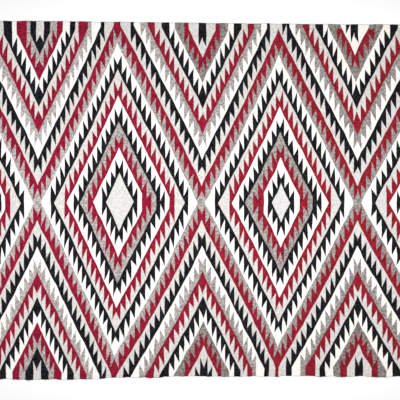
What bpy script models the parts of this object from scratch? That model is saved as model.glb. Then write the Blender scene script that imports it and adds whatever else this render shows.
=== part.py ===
"""Eye dazzler rug: one flat piece of wool tapestry, lying face up.

Metres, +Z up. The origin is on the floor under the middle of the rug. +X runs along the warp, which is
the rug's length, and +Y across it from the near selvedge to the far one.
"""

import math
from typing import NamedTuple

import bmesh
import bpy

# Driving dimensions
LENGTH = 1.804  # end to end, along the warp
WIDTH = 1.344  # selvedge to selvedge, where the rug is widest
THICKNESS = 0.0046  # wool weft beaten down over its warp, both faces alike
RIM_RADIUS = 0.0015  # the selvedges and ends are rounded, top and bottom
CORNER_RADIUS = 0.007  # the corners are drawn in by their last wefts

# The selvedges and ends aren't quite straight: the weft pulls in here and there.
RIPPLE = 0.0007  # how far the selvedge wanders from block to block of colour
RIPPLE_LENGTH = 0.074  # one wave of it, about two blocks of colour
END_BOW = 0.0012  # how far the ends stand out in the middle of their width

# Fineness of the mesh
COLUMNS = 124  # faces along the length, about 15 mm each
ROWS = 8  # faces across the width
ROUND_STEPS = 3
CORNER_STEPS = 5
SHARP = math.radians(60)


class Station(NamedTuple):
    """A place along the rug, and how far each selvedge lies inside the widest line there."""

    along: float
    far_inset: float
    near_inset: float


STATIONS = (
    Station(along=-0.902, far_inset=0.0020, near_inset=0.0025),
    Station(along=-0.594, far_inset=0.0000, near_inset=0.0000),
    Station(along=-0.287, far_inset=0.0035, near_inset=0.0065),
    Station(along=0.023, far_inset=0.0075, near_inset=0.0110),
    Station(along=0.320, far_inset=0.0105, near_inset=0.0125),
    Station(along=0.608, far_inset=0.0130, near_inset=0.0115),
    Station(along=0.902, far_inset=0.0125, near_inset=0.0110),
)


def eased(start: float, end: float, part: float) -> float:
    """A value from start to end that leaves and arrives level."""
    return start + (end - start) * (3 - 2 * part) * part**2


def selvedges(along: float) -> tuple[float, float]:
    """Where the near and the far selvedge lie across the rug, at a place along it."""
    spans = zip(STATIONS, STATIONS[1:])
    before, after = next(
        (span for span in spans if along <= span[1].along), (STATIONS[-2], STATIONS[-1])
    )
    part = min(1.0, max(0.0, (along - before.along) / (after.along - before.along)))
    wave = 2 * math.pi * along / RIPPLE_LENGTH
    far = WIDTH / 2 - eased(before.far_inset, after.far_inset, part) + RIPPLE * math.sin(wave)
    near = WIDTH / 2 - eased(before.near_inset, after.near_inset, part) + RIPPLE * math.sin(1.3 * wave)
    return -near, far


def cloth_mesh() -> bpy.types.Mesh:
    """The rug's upper face as a grid, shaped to its four edges, with its corners rounded."""
    bm = bmesh.new()
    bmesh.ops.create_grid(bm, x_segments=COLUMNS, y_segments=ROWS, size=0.5)
    corners = [vert for vert in bm.verts if len(vert.link_edges) == 2]
    for vert in bm.verts:
        u, v = vert.co.x + 0.5, vert.co.y + 0.5
        bow = END_BOW * math.sin(math.pi * v)
        along = (u - 0.5) * (LENGTH - 2 * (END_BOW - bow))
        near, far = selvedges(along)
        vert.co = (along, near + (far - near) * v, THICKNESS)
    bmesh.ops.bevel(
        bm,
        geom=corners,
        affect="VERTICES",
        offset=CORNER_RADIUS,
        segments=CORNER_STEPS,
        profile=0.5,
        material=-1,
    )
    middle = sum(extreme(vert.co.y for vert in bm.verts) for extreme in (min, max)) / 2
    bmesh.ops.translate(bm, verts=bm.verts, vec=(0, -middle, 0))
    mesh = bpy.data.meshes.new("rug")
    bm.to_mesh(mesh)
    bm.free()
    return mesh


def wool() -> bpy.types.Material:
    """Wool tapestry seen from far enough away that its red, black, grey and white run together."""
    material = bpy.data.materials.new("tapestry wool")
    material.use_nodes = True
    shader = material.node_tree.nodes["Principled BSDF"]
    shader.inputs["Base Color"].default_value = (0.46, 0.28, 0.29, 1)
    shader.inputs["Roughness"].default_value = 0.9
    shader.inputs["Metallic"].default_value = 0.0
    return material


def rug(collection: bpy.types.Collection) -> bpy.types.Object:
    """The whole rug: its face given a thickness, flat underneath, and its rim rounded."""
    cloth = bpy.data.objects.new("rug", cloth_mesh())
    cloth.data.materials.append(wool())
    collection.objects.link(cloth)
    body = cloth.modifiers.new("thickness", "SOLIDIFY")
    body.thickness = THICKNESS
    body.offset = -1
    rim = cloth.modifiers.new("rim", "BEVEL")
    rim.limit_method = "ANGLE"
    rim.angle_limit = SHARP
    rim.width = RIM_RADIUS
    rim.segments = ROUND_STEPS
    cloth.data.shade_smooth()
    return cloth


def main() -> None:
    """Clears the scene and builds the rug."""
    for old in list(bpy.data.objects):
        bpy.data.objects.remove(old)
    collection = bpy.data.collections.new("eye dazzler rug")
    bpy.context.scene.collection.children.link(collection)
    rug(collection)


main()
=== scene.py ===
"""Eye dazzler rug: a flat-woven wool rug lying face up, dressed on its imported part.

Metres, +Z up, in the part's frame: +X runs along the warp and +Y across it, to the far selvedge. The rug's
chart is counted in two ways. A level is the depth of one diamond ring, counted across the rug from its
middle. A step is one column of teeth, counted along the rug from the middle of the nearest whole diamond.
"""

import logging
import math
from bisect import bisect_right
from collections.abc import Sequence
from dataclasses import dataclass
from enum import Enum
from typing import Any, NamedTuple

import bmesh
import bpy
from mathutils import Matrix, Vector, noise


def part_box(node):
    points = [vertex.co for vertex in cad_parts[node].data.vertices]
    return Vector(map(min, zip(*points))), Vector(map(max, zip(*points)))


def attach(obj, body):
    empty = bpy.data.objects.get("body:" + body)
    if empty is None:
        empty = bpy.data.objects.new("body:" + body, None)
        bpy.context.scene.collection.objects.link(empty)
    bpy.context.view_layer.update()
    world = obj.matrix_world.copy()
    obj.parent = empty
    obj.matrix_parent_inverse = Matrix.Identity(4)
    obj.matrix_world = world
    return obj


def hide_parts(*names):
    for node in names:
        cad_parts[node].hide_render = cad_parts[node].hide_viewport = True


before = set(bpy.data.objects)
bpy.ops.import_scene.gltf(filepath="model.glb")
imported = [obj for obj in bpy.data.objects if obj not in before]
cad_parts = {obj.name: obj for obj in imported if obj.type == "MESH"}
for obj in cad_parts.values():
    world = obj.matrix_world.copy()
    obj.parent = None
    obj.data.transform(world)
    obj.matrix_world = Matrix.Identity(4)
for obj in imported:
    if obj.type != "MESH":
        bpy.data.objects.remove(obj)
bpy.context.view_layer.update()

# What the cloth's corners carry: the chart's point there, how the bands end at the selvedge nearest it,
# and the threads that cross there.
CHART_LAYER = "chart"
FINISH_LAYER = "finish"
THREAD_LAYER = "threads"
YARN_SCALE = 8  # a shader keeps the number of a wool as a share of this

# A noise texture's detail and its roughness: one size of wave, and two for the flecks.
PLAIN_NOISE = (0.0, 0.5)
FLECKED_NOISE = (1.0, 0.5)

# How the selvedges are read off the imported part: the length of rug that gives one point of their line, and
# how far out a vertex must be to count, as a share of half the width.
BLOCK = 0.015
OUTER_SHARE = 0.9
SIDES_APART = 3.7  # how far apart in the noise the two selvedges read their waves, to either side
WELD = 0.00001  # the two faces of the cloth are joined where their edges are this close, in metres
PLACE_ROUNDS = 2  # the axes lean, so a point's two coordinates are found in rounds

log = logging.getLogger("eye dazzler rug")


def linear(code: str) -> tuple[float, float, float, float]:
    """Turns a colour as people write it into the one a shader takes.

    Args:
        code: an sRGB colour as #RRGGBB.

    Returns:
        The same colour, linear, with an alpha of 1.
    """
    shares = [int(code[start : start + 2], 16) / 255 for start in (1, 3, 5)]
    red, green, blue = (
        share / 12.92 if share <= 0.04045 else ((share + 0.055) / 1.055) ** 2.4 for share in shares
    )
    return red, green, blue, 1.0


def read_off(place: float, places: Sequence[float], values: Sequence[float]) -> float:
    """Reads a value off a line of short straight stretches, which runs on past both its ends.

    Args:
        place: where to read.
        places: where the line's points are, in rising order.
        values: the line's value at each of them.

    Returns:
        The value at that place.
    """
    last = min(max(bisect_right(places, place), 1), len(places) - 1)
    share = (place - places[last - 1]) / (places[last] - places[last - 1])
    return values[last - 1] + share * (values[last] - values[last - 1])


def add(tree: bpy.types.NodeTree, kind: str, *values: Any, **settings: Any) -> bpy.types.NodeSocket:
    """Adds a node, sets it up and fills its inputs in order.

    Args:
        tree: the material's nodes.
        kind: the node's type, less its leading ShaderNode.
        values: one for each open input from the top: a socket to link, or a plain value, or None.
        settings: the node's own options.

    Returns:
        The node's first open output, whose .node is the node.
    """
    node = tree.nodes.new(f"ShaderNode{kind}")
    for name, value in settings.items():
        setattr(node, name, value)
    for socket, value in zip([socket for socket in node.inputs if socket.enabled], values):
        if isinstance(value, bpy.types.NodeSocket):
            tree.links.new(value, socket)
        elif value is not None:
            socket.default_value = value
    return next(socket for socket in node.outputs if socket.enabled)


class Yarn(Enum):
    """The wools on the weaver's bobbins."""

    SILVER = 0
    PALE = 1
    GREY = 2
    SMOKE = 3
    BLACK = 4
    RED = 5
    WHITE = 6


class Lot(NamedTuple):
    """One dye lot of a wool: the colours of its lighter and its darker fibres."""

    light: str
    dark: str


@dataclass(frozen=True)
class Wool:
    """A spun yarn, as it was dyed in the two lots that the rug was woven from.

    Attributes:
        left: the lot that the left end is woven from.
        right: the lot that comes in towards the right end.
    """

    left: Lot
    right: Lot


# Undyed greys are carded from black and white fleece, so they are the most speckled.
WOOLS = {
    Yarn.SILVER: Wool(left=Lot("#DCDBD9", "#CBCAC8"), right=Lot("#DCDBDA", "#CBCAC9")),
    Yarn.PALE: Wool(left=Lot("#E1DFDB", "#C8C5C1"), right=Lot("#DDDBD8", "#C4C1BE")),
    Yarn.GREY: Wool(left=Lot("#C8C1BE", "#908986"), right=Lot("#AAA4A1", "#736E6C")),
    Yarn.SMOKE: Wool(left=Lot("#9E9895", "#66605D"), right=Lot("#9B9592", "#645E5B")),
    Yarn.BLACK: Wool(left=Lot("#27262B", "#0A0A0D"), right=Lot("#252428", "#0A0A0C")),
    Yarn.RED: Wool(left=Lot("#A31C3D", "#701428"), right=Lot("#9F2331", "#6D1821")),
    Yarn.WHITE: Wool(left=Lot("#F9F8F6", "#ECEAE7"), right=Lot("#F9F7F2", "#EBE8E1")),
}


class Ring(NamedTuple):
    """A ring of the chart, with a straight inner edge and teeth that point outwards.

    Attributes:
        toothed: the wool along the straight edge and in the teeth.
        ground: the wool in the notches, out to the next ring.
        solid: how deep the toothed wool is below the deepest notch, in levels.
        slant: how much deeper a notch is at its steep side than at its tip, in levels.
    """

    toothed: Yarn
    ground: Yarn
    solid: float
    slant: float


# A dark wool takes a little more of its ring than a light one, in the teeth as in the notches.
CENTRE = {"solid": 0.0, "slant": 0.0}
DARK_TEETH = {"solid": 0.17, "slant": 0.72}
DARK_NOTCHES = {"solid": 0.10, "slant": 0.70}

# From the middle of a whole diamond outwards. The last two make the half diamonds at the selvedges.
RINGS = (
    Ring(Yarn.SILVER, Yarn.SILVER, **CENTRE),
    Ring(Yarn.BLACK, Yarn.WHITE, **DARK_TEETH),
    Ring(Yarn.RED, Yarn.GREY, **DARK_TEETH),
    Ring(Yarn.BLACK, Yarn.WHITE, **DARK_TEETH),
    Ring(Yarn.RED, Yarn.PALE, **DARK_TEETH),
    Ring(Yarn.BLACK, Yarn.WHITE, **DARK_TEETH),
    Ring(Yarn.GREY, Yarn.RED, **DARK_NOTCHES),
    Ring(Yarn.PALE, Yarn.BLACK, **DARK_NOTCHES),
    Ring(Yarn.WHITE, Yarn.GREY, **DARK_NOTCHES),
    Ring(Yarn.RED, Yarn.PALE, **DARK_TEETH),
    Ring(Yarn.BLACK, Yarn.WHITE, **DARK_TEETH),
    Ring(Yarn.SMOKE, Yarn.RED, **DARK_NOTCHES),
    Ring(Yarn.PALE, Yarn.BLACK, **DARK_NOTCHES),
)


class Change(NamedTuple):
    """A place where the weaver used other wools in the outermost rings.

    Attributes:
        start: where along the rug it starts.
        end: where it ends.
        lowest: the level that it starts from.
        rings: the rings that take the place of the outermost ones.
    """

    start: float
    end: float
    lowest: float
    rings: tuple[Ring, ...]


# A start of -1 or an end of 1 is past the rug's own ends. A later change overrides an earlier one.
CHANGES = (
    Change(
        start=-1.0,
        end=-0.287,
        lowest=-8.0,
        rings=(
            Ring(Yarn.RED, Yarn.GREY, **DARK_TEETH),
            Ring(Yarn.BLACK, Yarn.PALE, **DARK_TEETH),
        ),
    ),
    Change(
        start=0.44,
        end=1.0,
        lowest=3.0,
        rings=(Ring(Yarn.WHITE, Yarn.BLACK, **DARK_NOTCHES),),
    ),
    Change(
        start=0.44,
        end=0.70,
        lowest=6.70,
        rings=(
            Ring(Yarn.SMOKE, Yarn.SMOKE, **DARK_NOTCHES),
            Ring(Yarn.WHITE, Yarn.BLACK, **DARK_NOTCHES),
        ),
    ),
)


class Corner(NamedTuple):
    """A stretch along the rug where the rings' corners on its middle line are cut off upright.

    Attributes:
        start: where along the rug it starts.
        end: where it ends.
        half: half the height of the upright edge, in levels.
    """

    start: float
    end: float
    half: float


CORNERS = (
    Corner(start=-0.733, end=-0.681, half=0.26),
    Corner(start=-0.223, end=-0.173, half=0.33),
    Corner(start=-0.173, end=-0.122, half=0.24),
    Corner(start=-0.122, end=-0.073, half=0.21),
    Corner(start=0.227, end=0.272, half=0.40),
    Corner(start=0.373, end=0.414, half=0.27),
    Corner(start=0.414, end=0.467, half=0.24),
)


class Axis(NamedTuple):
    """A line across the rug, through the middles of its diamonds.

    Attributes:
        steps: its distance from the middle of a whole diamond, in the chart's steps.
        along: where it lies along the rug, at each of LEVELS.
        across: where each of LEVELS crosses it, across the rug.
        upright: the level past which bands run straight out, to the near selvedge and to the far one.
    """

    steps: int
    along: tuple[float, ...]
    across: tuple[float, ...]
    upright: tuple[float, float]


HALF_DIAMOND = 18  # steps from the middle of a whole diamond to the middle of a half one
# A level is negative on the near side of the rug's middle.
LEVELS = (-6, -3, 0, 3, 6)
MIDDLE = LEVELS.index(0)

# Read off the photo, places to 5 mm and levels to a twentieth. The first and last axes are the rug's ends.
AXES = (
    Axis(
        steps=0,
        along=(-0.902,) * len(LEVELS),
        across=(-0.575, -0.300, -0.010, 0.285, 0.575),
        upright=(6.70, 6.50),
    ),
    Axis(
        steps=HALF_DIAMOND,
        along=(-0.595, -0.595, -0.595, -0.590, -0.585),
        across=(-0.580, -0.300, -0.010, 0.285, 0.575),
        upright=(6.65, 6.50),
    ),
    Axis(
        steps=0,
        along=(-0.305, -0.295, -0.285, -0.290, -0.295),
        across=(-0.575, -0.300, -0.005, 0.285, 0.580),
        upright=(6.90, 6.80),
    ),
    Axis(
        steps=HALF_DIAMOND,
        along=(0.030, 0.025, 0.020, 0.025, 0.025),
        across=(-0.575, -0.295, -0.010, 0.280, 0.565),
        upright=(6.85, 6.75),
    ),
    Axis(
        steps=1,
        along=(0.305, 0.315, 0.320, 0.315, 0.310),
        across=(-0.570, -0.295, -0.010, 0.280, 0.570),
        upright=(6.60, 6.80),
    ),
    Axis(
        steps=HALF_DIAMOND,
        along=(0.610, 0.605, 0.605, 0.605, 0.595),
        across=(-0.570, -0.295, -0.010, 0.275, 0.575),
        upright=(6.60, 6.80),
    ),
    Axis(
        steps=2,
        along=(0.902,) * len(LEVELS),
        across=(-0.570, -0.295, -0.010, 0.280, 0.570),
        upright=(7.00, 6.70),
    ),
)

# Columns of teeth from one axis to the next, with half of both middle columns counted as one each. All the
# others in a span have one width.
TEETH = (18, 18, 18, 17, 17, 16)
SPAN_LENGTH = 0.3075  # metres from one axis to the next, about
HALF_COLUMN = 0.015  # how wide half of a middle column is, in metres

# A group of columns shares the way its bands end at the selvedge. The two halves of middle columns are
# groups of their own. Between them a group has GROUP_STEP columns, and the last has what is left.
GROUP_STEP = 3
GROUPS = 5


class ChartPoint(NamedTuple):
    """A point of the chart, as it is kept on the cloth.

    Attributes:
        ring: how far out the steps along the rug bring it, in levels.
        tooth: columns of teeth from the middle of the nearest whole diamond.
        level: levels from the rug's middle.
    """

    ring: float
    tooth: float
    level: float


class Finish(NamedTuple):
    """How the bands end at the selvedge nearest a point of the cloth.

    Attributes:
        upright: the level past which they run straight out to it.
        notched: the level past which no more notches start.
        span: the number of the span that it is in.
    """

    upright: float
    notched: float
    span: float


@dataclass(frozen=True)
class Chart:
    """The pattern's rule: which wool lies at each point of the rug.

    Attributes:
        rise: how many levels a ring climbs in one step.
        first_ring: where the first ring's straight edge crosses a whole diamond's axis, in levels.
        wander: how far it is from one swing of the weaver's hand to the next, in metres.
        drift: how far lines stray from their place, in levels, and columns from theirs, in columns.
        unlike: how unlike each other two teeth are, as a share of the slant of their notches.
        last_notch: how far inside the level where bands turn upright the last notches start, in levels.
    """

    rise: float = 0.358
    first_ring: float = 1.115
    wander: float = 0.045
    drift: tuple[float, float] = (0.07, 0.30)
    unlike: float = 0.30
    last_notch: float = 0.40

    def columns(self, span: int) -> list[tuple[float, float]]:
        """Lists the edges between a span's groups of columns.

        Args:
            span: the number of the span.

        Returns:
            For each, columns and metres from the axis before it, where the span has SPAN_LENGTH.
        """
        teeth = TEETH[span]
        width = (SPAN_LENGTH - 2 * HALF_COLUMN) / (teeth - 2)
        counts = [1 + GROUP_STEP * group for group in range(GROUPS)]
        inner = [(count, HALF_COLUMN + (count - 1) * width) for count in (*counts, teeth - 1)]
        return [(0, 0.0), *inner, (teeth, SPAN_LENGTH)]

    def point(self, span: int, column: float, part: float, across: float) -> ChartPoint:
        """Finds what the chart says at a place between two axes.

        Args:
            span: the number of the span between them.
            column: columns of teeth from the first of the two.
            part: the place's share of the way from the first to the second.
            across: the place across the rug.

        Returns:
            The chart's point there.
        """
        start, end = AXES[span], AXES[span + 1]
        levels = [read_off(across, axis.across, LEVELS) for axis in (start, end)]
        outwards = start.steps < end.steps
        return ChartPoint(
            ring=self.rise * (start.steps + (column if outwards else -column)),
            tooth=column if outwards else TEETH[span] - column,
            level=levels[0] * (1 - part) + levels[1] * part,
        )

    def finish(self, span: int, part: float, across: float) -> Finish:
        """Finds how the bands end at the selvedge nearest a place.

        Args:
            span: the number of the span that it is in.
            part: the place's share of the way from the axis before it to the next.
            across: the place across the rug, or any other on the same side of its middle.

        Returns:
            How they end there.
        """
        side = 0 if across < 0 else 1
        start, end = AXES[span], AXES[span + 1]
        upright = start.upright[side] * (1 - part) + end.upright[side] * part
        return Finish(upright=upright, notched=upright - self.last_notch, span=float(span))

    def look_up(
        self, tree: bpy.types.NodeTree, number: bpy.types.NodeSocket, column: Sequence[float]
    ) -> bpy.types.NodeSocket:
        """Reads one column of the table of rings.

        Args:
            tree: the material's nodes.
            number: the ring's number.
            column: the column's value for each ring, from 0 to 1.

        Returns:
            The value for that ring.
        """
        middle = add(tree, "Math", number, 0.5, operation="ADD")
        place = add(tree, "Math", middle, len(column), operation="DIVIDE")
        found = add(tree, "ValToRGB", place)
        ramp = found.node.color_ramp
        ramp.interpolation = "CONSTANT"
        ramp.elements.remove(ramp.elements[-1])
        for index, value in enumerate(column):
            stop = ramp.elements[0] if index == 0 else ramp.elements.new(index / len(column))
            stop.color = (value, value, value, 1)
        return found

    def cut(
        self, tree: bpy.types.NodeTree, away: bpy.types.NodeSocket, along: bpy.types.NodeSocket
    ) -> bpy.types.NodeSocket:
        """Cuts off the rings' corners on the rug's middle line.

        Args:
            tree: the material's nodes.
            away: levels from the rug's middle, to either side.
            along: the place along the rug.

        Returns:
            The same levels, held up where a corner is cut off.
        """
        for corner in CORNERS:
            middle, reach = (corner.start + corner.end) / 2, (corner.end - corner.start) / 2
            here = add(tree, "Math", along, middle, reach, operation="COMPARE")
            height = add(tree, "Math", here, corner.half, operation="MULTIPLY")
            away = add(tree, "Math", away, height, operation="MAXIMUM")
        return away

    def changed(
        self,
        tree: bpy.types.NodeTree,
        number: bpy.types.NodeSocket,
        level: bpy.types.NodeSocket,
        along: bpy.types.NodeSocket,
    ) -> bpy.types.NodeSocket:
        """Finds the ring's row in the table, which has each of CHANGES below the common rings.

        Args:
            tree: the material's nodes.
            number: the ring's number.
            level: levels from the rug's middle.
            along: the place along the rug.

        Returns:
            The number of its row.
        """
        row = number
        first = len(RINGS)
        for change in CHANGES:
            replaced = len(RINGS) - len(change.rings)
            tests = (
                add(tree, "Math", along, change.start, operation="GREATER_THAN"),
                add(tree, "Math", along, change.end, operation="LESS_THAN"),
                add(tree, "Math", level, change.lowest, operation="GREATER_THAN"),
                add(tree, "Math", number, replaced - 0.5, operation="GREATER_THAN"),
            )
            here = tests[0]
            for test in tests[1:]:
                here = add(tree, "Math", here, test, operation="MULTIPLY")
            own_row = add(tree, "Math", number, first - replaced, operation="ADD")
            row = add(tree, "Mix", here, row, own_row)
            first += len(change.rings)
        return row

    def yarn(
        self,
        tree: bpy.types.NodeTree,
        place: bpy.types.NodeSocket,
        along: bpy.types.NodeSocket,
    ) -> bpy.types.NodeSocket:
        """Works out the wool at each point of the cloth.

        Args:
            tree: the material's nodes.
            place: the place on the rug.
            along: the place along the rug.

        Returns:
            The wool's number in Yarn, over YARN_SCALE.
        """
        chart = add(tree, "Attribute", attribute_name=CHART_LAYER).node.outputs["Vector"]
        exact_ring, exact_tooth, exact_level = add(tree, "SeparateXYZ", chart).node.outputs
        finish = add(tree, "Attribute", attribute_name=FINISH_LAYER).node.outputs["Vector"]
        upright, notched, span = add(tree, "SeparateXYZ", finish).node.outputs

        # Nothing woven by eye is quite straight. On the axes the columns keep their place.
        swing = add(tree, "TexNoise", place, 1 / self.wander, *PLAIN_NOISE).node.outputs["Color"]
        swings = add(tree, "SeparateXYZ", swing).node.outputs
        up, aside = (
            add(tree, "Math", stray, reach, -reach / 2, operation="MULTIPLY_ADD")
            for stray, reach in zip(swings, self.drift)
        )
        from_half = add(tree, "Math", exact_ring, -1 / self.rise, HALF_DIAMOND, operation="MULTIPLY_ADD")
        from_axis = add(tree, "Math", exact_tooth, from_half, operation="MINIMUM")
        shift = add(tree, "Math", aside, add(tree, "Clamp", from_axis), operation="MULTIPLY")
        level = add(tree, "Math", exact_level, up, operation="ADD")
        tooth = add(tree, "Math", exact_tooth, shift, operation="ADD")
        ring = add(tree, "Math", shift, self.rise, exact_ring, operation="MULTIPLY_ADD")
        away = add(tree, "Math", level, operation="ABSOLUTE")
        held = self.cut(tree, away, along)

        # The straight edges part one ring from the next, and stand upright near the selvedges.
        bounded = add(tree, "Math", held, upright, operation="MINIMUM")
        reach = add(tree, "Math", bounded, ring, operation="ADD")
        past_first = add(tree, "Math", reach, self.first_ring, operation="SUBTRACT")
        counted = add(tree, "Math", past_first, operation="FLOOR")
        plain = add(tree, "Math", counted, 1, operation="ADD")
        number = add(tree, "Clamp", plain, 0, len(RINGS) - 1)
        start = add(tree, "Math", number, self.first_ring - 1, operation="ADD")
        row = self.changed(tree, number, level, along)
        table = [*RINGS, *(entry for change in CHANGES for entry in change.rings)]

        # Each tooth is a little unlike its neighbours.
        side = add(tree, "Math", level, 0.0, operation="GREATER_THAN")
        turned = add(tree, "Math", span, 2.0, side, operation="MULTIPLY_ADD")
        count = add(tree, "Math", tooth, operation="FLOOR")
        which = add(tree, "CombineXYZ", count, number, turned)
        chance = add(tree, "TexWhiteNoise", which, noise_dimensions="3D")
        least, most = 1 - self.unlike / 2, 1 + self.unlike / 2
        likeness = add(tree, "MapRange", chance, 0.0, 1.0, least, most)

        # In each column of teeth the ground starts where the tooth's sloping side crosses it.
        solid = self.look_up(tree, row, [entry.solid for entry in table])
        slant = self.look_up(tree, row, [entry.slant for entry in table])
        edge = add(tree, "Math", start, solid, operation="ADD")
        part = add(tree, "Math", tooth, operation="FRACT")
        steep = add(tree, "Math", slant, likeness, operation="MULTIPLY")
        fallen = add(tree, "Math", part, steep, operation="MULTIPLY")
        full = add(tree, "Math", away, ring, operation="ADD")
        slope = add(tree, "Math", full, fallen, operation="SUBTRACT")
        run = add(tree, "Math", part, -self.rise, ring, operation="MULTIPLY_ADD")
        topmost = add(tree, "Math", run, notched, operation="ADD")
        tests = [
            add(tree, "Math", height, bound, operation="GREATER_THAN")
            for height, bound in ((run, edge), (slope, edge), (topmost, start))
        ]
        notch = add(tree, "Math", tests[1], tests[2], operation="MINIMUM")
        open_ground = add(tree, "Math", tests[0], notch, operation="MAXIMUM")

        toothed = self.look_up(tree, row, [entry.toothed.value / YARN_SCALE for entry in table])
        ground = self.look_up(tree, row, [entry.ground.value / YARN_SCALE for entry in table])
        return add(tree, "Mix", open_ground, toothed, ground, data_type="RGBA")


@dataclass(frozen=True)
class TapestryWool:
    """Weft-faced tapestry of handspun wool: dull, soft, ribbed along its warp, never quite one colour.

    Attributes:
        chart: the pattern that it is woven to.
        thread: from one weft to the next but one, in metres. Real ones are about 1.5 mm apart, which is
            too fine to show, so they are drawn a little coarser.
        bead: how high a weft stands over the warp that it crosses, in metres.
        bead_strength: how much of that height the light shows.
        fleck: how long a fleck of another fibre is, in metres. They are drawn coarser too.
        fleck_range: the noise's values that give the lightest fibres and the darkest ones.
        lot_change: where along the rug the second dye lot comes in, from its first rows to its last.
        stripe: how wide the stripes of one lot are, in metres.
        stripe_shape: how many times as long as wide they are. They run across the rug, as wefts do.
        stripe_stray: how far along the rug they mix the two lots, in metres.
        roughness: of the lightest fibres and of the darkest ones.
    """

    chart: Chart
    thread: float = 0.0030
    bead: float = 0.00035
    bead_strength: float = 0.8
    fleck: float = 0.0065
    fleck_range: tuple[float, float] = (0.36, 0.64)
    lot_change: tuple[float, float] = (-0.55, 0.55)
    stripe: float = 0.045
    stripe_shape: float = 25.0
    stripe_stray: float = 0.5
    roughness: tuple[float, float] = (0.86, 0.95)

    def fibres(self, tree: bpy.types.NodeTree, place: bpy.types.NodeSocket) -> bpy.types.NodeSocket:
        """Says how dark the fibres are at each point: 0 for the lightest and 1 for the darkest."""
        speckle = add(tree, "TexNoise", place, 1 / self.fleck, *FLECKED_NOISE)
        return add(tree, "MapRange", speckle, *self.fleck_range, 0.0, 1.0)

    def lots(
        self,
        tree: bpy.types.NodeTree,
        place: bpy.types.NodeSocket,
        along: bpy.types.NodeSocket,
    ) -> bpy.types.NodeSocket:
        """Says which dye lot the weft is from.

        Args:
            tree: the material's nodes.
            place: the place on the rug.
            along: the place along the rug.

        Returns:
            0 for the left lot, 1 for the right one, or between the two.
        """
        stripes = add(tree, "Mapping", place, None, None, (1, 1 / self.stripe_shape, 1))
        wander = add(tree, "TexNoise", stripes, 1 / self.stripe, *PLAIN_NOISE)
        shifted = add(tree, "Math", wander, self.stripe_stray, along, operation="MULTIPLY_ADD")
        first, last = (limit + self.stripe_stray / 2 for limit in self.lot_change)
        return add(tree, "MapRange", shifted, first, last, 0.0, 1.0)

    def colours(
        self,
        tree: bpy.types.NodeTree,
        yarn: bpy.types.NodeSocket,
        fibres: bpy.types.NodeSocket,
        lot: bpy.types.NodeSocket,
    ) -> bpy.types.NodeSocket:
        """Colours the cloth, one wool after another.

        Args:
            tree: the material's nodes.
            yarn: the wool's number in Yarn, over YARN_SCALE.
            fibres: how dark the fibres are.
            lot: which dye lot the weft is from.

        Returns:
            The cloth's colour.
        """
        colour: Any = linear(WOOLS[Yarn.WHITE].left.light)
        half_step = 0.5 / YARN_SCALE
        for name, wool in WOOLS.items():
            left, right = (
                add(tree, "Mix", fibres, linear(dyed.light), linear(dyed.dark), data_type="RGBA")
                for dyed in (wool.left, wool.right)
            )
            spun = add(tree, "Mix", lot, left, right, data_type="RGBA")
            here = add(tree, "Math", yarn, name.value / YARN_SCALE, half_step, operation="COMPARE")
            colour = add(tree, "Mix", here, colour, spun, data_type="RGBA")
        return colour

    def beads(self, tree: bpy.types.NodeTree) -> bpy.types.NodeSocket:
        """Raises each weft where it crosses a warp, by turns on one rib and the next.

        Args:
            tree: the material's nodes.

        Returns:
            The bumped normal.
        """
        thread = add(tree, "UVMap", uv_map=THREAD_LAYER)
        outputs = add(tree, "SeparateXYZ", thread).node.outputs
        along, rib = outputs["X"], outputs["Y"]
        counted = add(tree, "Math", rib, operation="FLOOR")
        turn = add(tree, "Math", counted, 0.5, operation="MULTIPLY")
        wefts = add(tree, "Math", along, 1 / self.thread, turn, operation="MULTIPLY_ADD")
        angle = add(tree, "Math", wefts, math.pi, operation="MULTIPLY")
        wave = add(tree, "Math", angle, operation="SINE")
        height = add(tree, "Math", wave, operation="ABSOLUTE")
        return add(tree, "Bump", self.bead_strength, self.bead, None, height)

    def build(self) -> bpy.types.Material:
        """Makes the material."""
        # Wool takes the light evenly, with hardly a highlight and a faint bloom of fine hairs. The beads of
        # weft give it a fine grain, and flecks keep every colour from looking printed.
        material = bpy.data.materials.new("handwoven wool tapestry")
        material.use_nodes = True
        tree = material.node_tree
        shader = tree.nodes["Principled BSDF"]
        place = add(tree, "TexCoord").node.outputs["Object"]
        along = add(tree, "SeparateXYZ", place)
        yarn = self.chart.yarn(tree, place, along)
        fibres = self.fibres(tree, place)
        lot = self.lots(tree, place, along)
        tree.links.new(self.colours(tree, yarn, fibres, lot), shader.inputs["Base Color"])
        rough = add(tree, "MapRange", fibres, 0.0, 1.0, *self.roughness)
        tree.links.new(rough, shader.inputs["Roughness"])
        tree.links.new(self.beads(tree), shader.inputs["Normal"])
        shader.inputs["IOR"].default_value = 1.55
        shader.inputs["Specular IOR Level"].default_value = 0.04
        shader.inputs["Sheen Weight"].default_value = 0.02
        shader.inputs["Sheen Roughness"].default_value = 0.5
        return material


class Spot(NamedTuple):
    """A point of the cloth's grid.

    Attributes:
        along: its place along the rug.
        across: its place across the rug.
        part: its share of the way from the axis before it to the next.
        column: columns of teeth from the axis before it.
    """

    along: float
    across: float
    part: float
    column: float


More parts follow.
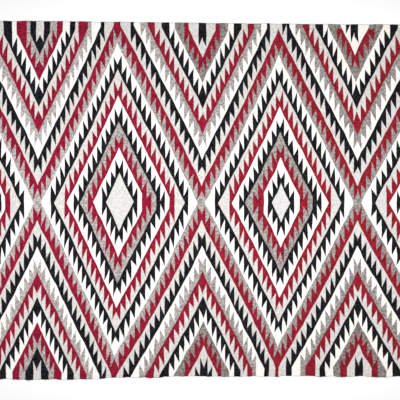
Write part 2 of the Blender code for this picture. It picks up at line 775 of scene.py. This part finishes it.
@dataclass
class Rug:
    """The woven cloth, one closed piece.

    Attributes:
        chart: the pattern that it is woven to.
        node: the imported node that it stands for.
        rib: from one warp to the next, in metres.
        relief: how deep the furrow between two ribs is, in metres.
        rim_steps: steps from a face round to the cloth's middle.
        end_bow: how far the ends stand out in the middle of their width, in metres.
        corner: how far the corners are drawn in, in metres.
        hem: how many half ribs beside a selvedge its unevenness is spread over.
        hem_cuts: how often each column of faces is cut there.
        hem_waves: how far the selvedge strays, and from one wave to the next, for each size of wave.
        straighter: how far the far selvedge strays, as a share of the near one.
        calm_end: how far from each end the selvedges start to stray less, in metres.
    """

    chart: Chart
    node: str = "rug"
    rib: float = 0.0033
    relief: float = 0.0003
    rim_steps: int = 3
    end_bow: float = 0.0012
    corner: float = 0.007
    hem: int = 5
    hem_cuts: int = 7
    hem_waves: tuple[tuple[float, float], ...] = ((0.0050, 0.050), (0.0034, 0.018))
    straighter: float = 0.4
    calm_end: float = 0.07

    def __post_init__(self) -> None:
        """Takes the cloth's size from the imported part."""
        low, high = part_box(self.node)
        self.low, self.high = low, high
        self.thickness = high.z - low.z
        self.ribs = round((high.y - low.y) / self.rib)
        self.rows = 2 * self.ribs
        self.near = self.selvedge(-1)
        self.far = self.selvedge(1)
        self.edges = [self.chart.columns(span) for span in range(len(TEETH))]
        self.columns = len(self.edges[0]) - 1

    def selvedge(self, side: int) -> tuple[list[float], list[float]]:
        """Reads a selvedge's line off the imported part.

        Args:
            side: 1 for the far selvedge and -1 for the near one.

        Returns:
            Places along the rug, and how far across it the selvedge is at each.
        """
        outermost: dict[int, tuple[float, float]] = {}
        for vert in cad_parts[self.node].data.vertices:
            along, across = vert.co.x, vert.co.y
            key = round(along / BLOCK)
            if abs(along) > self.high.x - BLOCK or across * side < OUTER_SHARE * self.high.y:
                continue
            if key not in outermost or across * side > outermost[key][1] * side:
                outermost[key] = (along, across)
        line = sorted(outermost.values())
        return [along for along, _ in line], [across for _, across in line]

    def reach(self, along: float) -> tuple[float, float]:
        """Where the near and the far selvedge are, at a place along the rug."""
        held = min(max(along, self.near[0][0]), self.near[0][-1])
        return read_off(held, *self.near), read_off(held, *self.far)

    def axis_along(self, index: int, across: float, share: float) -> float:
        """Finds where an axis lies along the rug. The first and the last are its ends.

        Args:
            index: the axis's number.
            across: a place across the rug.
            share: the same place, from 0 at the near selvedge to 1 at the far one.

        Returns:
            Where the axis lies there.
        """
        if index in (0, len(AXES) - 1):
            inset = self.thickness / 2 + self.end_bow * (1 - math.sin(math.pi * share))
            return self.low.x + inset if index == 0 else self.high.x - inset
        return read_off(across, AXES[index].across, AXES[index].along)

    def place(self, span: int, index: int, share: float) -> Spot:
        """Places a point of the grid on the rug.

        Args:
            span: the number of the span between two axes.
            index: the number of the edge between its columns of faces.
            share: the place across the rug, from 0 at the near selvedge to 1 at the far one.

        Returns:
            Where that is.
        """
        rim = self.thickness / 2
        column, gone = self.edges[span][index]
        part = gone / SPAN_LENGTH
        along = (AXES[span].along[MIDDLE] + AXES[span + 1].along[MIDDLE]) / 2
        for _ in range(PLACE_ROUNDS):
            near, far = self.reach(along)
            across = near + rim + (far - near - 2 * rim) * share
            start, end = (self.axis_along(axis, across, share) for axis in (span, span + 1))
            along = start + part * (end - start)
        return Spot(along=along, across=across, part=part, column=column)

    def drawn_in(self, share: float) -> float:
        """Says how far the last wefts draw an end in, which they do only near its corners.

        Args:
            share: the place across the rug, from 0 at the near selvedge to 1 at the far one.

        Returns:
            How far in the end is there, in metres.
        """
        from_edge = (self.high.y - self.low.y) * min(share, 1 - share)
        left = max(self.corner - from_edge, 0.0)
        return self.corner - math.sqrt(self.corner**2 - left**2)

    def face(self) -> bmesh.types.BMesh:
        """Weaves the upper face as a grid, with a rib over each warp and the chart on its corners.

        Returns:
            The face, open all round, over the cloth's middle.
        """
        bm = bmesh.new()
        chart_layer = bm.loops.layers.float_vector.new(CHART_LAYER)
        finish_layer = bm.loops.layers.float_vector.new(FINISH_LAYER)
        thread_layer = bm.loops.layers.uv.new(THREAD_LAYER)
        columns, rows = len(TEETH) * self.columns, self.rows
        bmesh.ops.create_grid(bm, x_segments=columns, y_segments=rows, size=0.5)
        spots = {
            vert: (round((vert.co.x + 0.5) * columns), round((vert.co.y + 0.5) * rows))
            for vert in bm.verts
        }
        for face in bm.faces:
            span = min(spots[vert][0] for vert in face.verts) // self.columns
            rib = min(spots[vert][1] for vert in face.verts) // 2
            left = min(spots[vert][0] for vert in face.verts) - span * self.columns
            parts = [gone / SPAN_LENGTH for _, gone in self.edges[span][left : left + 2]]
            finish = self.chart.finish(span, sum(parts) / 2, face.calc_center_median().y)
            for loop in face.loops:
                column, row = spots[loop.vert]
                spot = self.place(span, column - span * self.columns, (rib + 0.5) / self.ribs)
                loop[chart_layer] = self.chart.point(span, spot.column, spot.part, spot.across)
                loop[finish_layer] = finish
                loop[thread_layer].uv = (spot.along, row / 2)
        for vert, (column, row) in spots.items():
            span = min(column // self.columns, len(TEETH) - 1)
            share = row / rows
            spot = self.place(span, column - span * self.columns, share)
            inward = (column == 0) - (column == columns)
            furrow = self.relief * (row % 2 == 0)
            along = spot.along + inward * self.drawn_in(share)
            vert.co = (along, spot.across, self.thickness / 2 - furrow)
        self.ruffle(bm)
        return bm

    def ruffle(self, bm: bmesh.types.BMesh) -> None:
        """Makes the selvedges as uneven as a hand-woven rug's.

        Args:
            bm: the upper face.
        """
        hem = self.hem * self.rib / 2
        cut = []
        for edge in bm.edges:
            start, end = (vert.co for vert in edge.verts)
            if abs(end.x - start.x) > abs(end.y - start.y) and self.inset((start + end) / 2)[1] < hem:
                cut.append(edge)
        bmesh.ops.subdivide_edges(bm, edges=cut, cuts=self.hem_cuts)
        for vert in bm.verts:
            side, gap = self.inset(vert.co)
            held = min(gap / hem, 1.0)
            near_end = min((self.high.x - abs(vert.co.x)) / self.calm_end, 1.0)
            vert.co.y += side * self.stray(vert.co.x, side) * (1 - held) * near_end

    def inset(self, place: Vector) -> tuple[int, float]:
        """Measures from a place of the upper face to its nearer selvedge.

        Args:
            place: the place.

        Returns:
            1 for the far selvedge or -1 for the near one, and how far the face's edge there is.
        """
        near, far = self.reach(place.x)
        side, line = (1, far) if place.y > 0 else (-1, near)
        return side, max(abs(line - place.y) - self.thickness / 2, 0.0)

    def stray(self, along: float, side: int) -> float:
        """Says how far a selvedge stands out from its line.

        Args:
            along: the place along the rug.
            side: 1 for the far selvedge and -1 for the near one.

        Returns:
            How far it stands out there, in metres.
        """
        waves = (
            reach * noise.noise(Vector((along / wave, side * SIDES_APART, 0.0)))
            for reach, wave in self.hem_waves
        )
        return sum(waves) * (self.straighter if side > 0 else 1.0)

    def turn_rim(self, bm: bmesh.types.BMesh) -> None:
        """Rounds the rim down to the cloth's middle.

        Args:
            bm: the upper face, over the cloth's middle.
        """
        edges = [edge for edge in bm.edges if edge.is_boundary]
        outward: dict[bmesh.types.BMVert, Vector] = {}
        for edge in edges:
            start, end = (vert.co for vert in edge.verts)
            away = (start + end) / 2 - edge.link_faces[0].calc_center_median()
            square = (end - start).cross(Vector((0, 0, 1))).normalized()
            for vert in edge.verts:
                outward[vert] = outward.get(vert, Vector()) + math.copysign(1, square.dot(away)) * square
        source = {vert: (vert.co.copy(), way.normalized()) for vert, way in outward.items()}
        for step in range(1, self.rim_steps + 1):
            turn = math.pi / 2 * step / self.rim_steps
            made = bmesh.ops.extrude_edge_only(bm, edges=edges)["geom"]
            fresh = {item for item in made if isinstance(item, bmesh.types.BMVert)}
            edges = [item for item in made if isinstance(item, bmesh.types.BMEdge) and item.is_boundary]
            for vert in fresh:
                others = (edge.other_vert(vert) for edge in vert.link_edges)
                source[vert] = source[next(other for other in others if other not in fresh)]
            for vert in fresh:
                place, way = source[vert]
                vert.co = place + way * self.thickness / 2 * math.sin(turn)
                vert.co.z = place.z * math.cos(turn)

    def build(self) -> bpy.types.Object:
        """Makes the cloth, alike on both faces.

        Returns:
            The rug.
        """
        bm = self.face()
        self.turn_rim(bm)
        everything = [*bm.verts, *bm.edges, *bm.faces]
        bmesh.ops.mirror(bm, geom=everything, matrix=Matrix.Identity(4), merge_dist=WELD, axis="Z")
        bmesh.ops.recalc_face_normals(bm, faces=bm.faces)
        bmesh.ops.translate(bm, verts=bm.verts, vec=(0, 0, self.low.z + self.thickness / 2))
        mesh = bpy.data.meshes.new("woven_rug")
        bm.to_mesh(mesh)
        bm.free()
        mesh.shade_smooth()
        cloth = bpy.data.objects.new("woven_rug", mesh)
        bpy.context.scene.collection.objects.link(cloth)
        return cloth

    def dress(self, cloth: bpy.types.Object) -> None:
        """Gives the cloth its wool, hangs it on the root body and hides the part that it stands for.

        Args:
            cloth: the rug.
        """
        cloth.data.materials.append(TapestryWool(self.chart).build())
        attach(cloth, "root")
        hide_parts(self.node)


@dataclass(frozen=True)
class Studio:
    """A pale floor, soft light and the camera, straight above the rug.

    Attributes:
        floor: the floor's width, in metres.
        height: the camera's height over the floor.
        view: how much of the floor the picture takes in, in metres.
        aim: the place on the floor at the middle of the picture.
        sky: how bright the light from all round is.
        lamp_power: the soft box's power, in watts.
        lamp_size: the soft box's length along the rug, and its width.
        lamp_place: where the soft box hangs, over the rug's middle, so that its selvedges are dimmer.
    """

    floor: float = 60.0
    height: float = 6.0
    view: float = 1.5
    aim: tuple[float, float] = (0.015, 0.0015)
    sky: float = 0.32
    lamp_power: float = 38.0
    lamp_size: tuple[float, float] = (3.0, 0.6)
    lamp_place: tuple[float, float, float] = (0.05, 0.0, 1.5)

    def build_floor(self) -> None:
        """Lays the floor."""
        bm = bmesh.new()
        bmesh.ops.create_grid(bm, x_segments=1, y_segments=1, size=self.floor / 2)
        mesh = bpy.data.meshes.new("floor")
        bm.to_mesh(mesh)
        bm.free()
        floor = bpy.data.objects.new("floor", mesh)
        bpy.context.scene.collection.objects.link(floor)
        # Matt white paint on a studio floor, brushed out to an even tone.
        paint = bpy.data.materials.new("matt white floor paint")
        paint.use_nodes = True
        shader = paint.node_tree.nodes["Principled BSDF"]
        shader.inputs["Base Color"].default_value = linear("#FAFAFA")
        shader.inputs["Roughness"].default_value = 0.9
        mesh.materials.append(paint)

    def build_lights(self) -> None:
        """Lights the rug from all round, and a little more over its middle."""
        world = bpy.data.worlds.new("studio")
        world.use_nodes = True
        background = world.node_tree.nodes["Background"]
        background.inputs["Color"].default_value = (1, 1, 1, 1)
        background.inputs["Strength"].default_value = self.sky
        bpy.context.scene.world = world
        light = bpy.data.lights.new("soft box", "AREA")
        light.energy = self.lamp_power
        light.shape = "RECTANGLE"
        light.size, light.size_y = self.lamp_size
        lamp = bpy.data.objects.new("soft box", light)
        lamp.location = self.lamp_place
        bpy.context.scene.collection.objects.link(lamp)

    def build_camera(self) -> None:
        """Hangs the camera over the rug, with a long lens, so that the rug isn't foreshortened."""
        lens = bpy.data.cameras.new("camera")
        lens.lens = lens.sensor_width * self.height / self.view
        camera = bpy.data.objects.new("camera", lens)
        camera.location = (*self.aim, self.height)
        bpy.context.scene.collection.objects.link(camera)
        bpy.context.scene.camera = camera
        bpy.context.scene.view_settings.view_transform = "Standard"


def main() -> None:
    """Builds the rug and its studio, and notes what was built and how many faces and ribs the rug has."""
    logging.basicConfig(level=logging.INFO, format="%(name)s: %(message)s")
    studio = Studio()
    studio.build_floor()
    studio.build_lights()
    studio.build_camera()
    log.info("studio: floor, soft box and camera")
    rug = Rug(Chart())
    cloth = rug.build()
    rug.dress(cloth)
    log.info("%s: %d faces, %d ribs", cloth.name, len(cloth.data.polygons), rug.ribs)


if __name__ == "__main__":
    main()
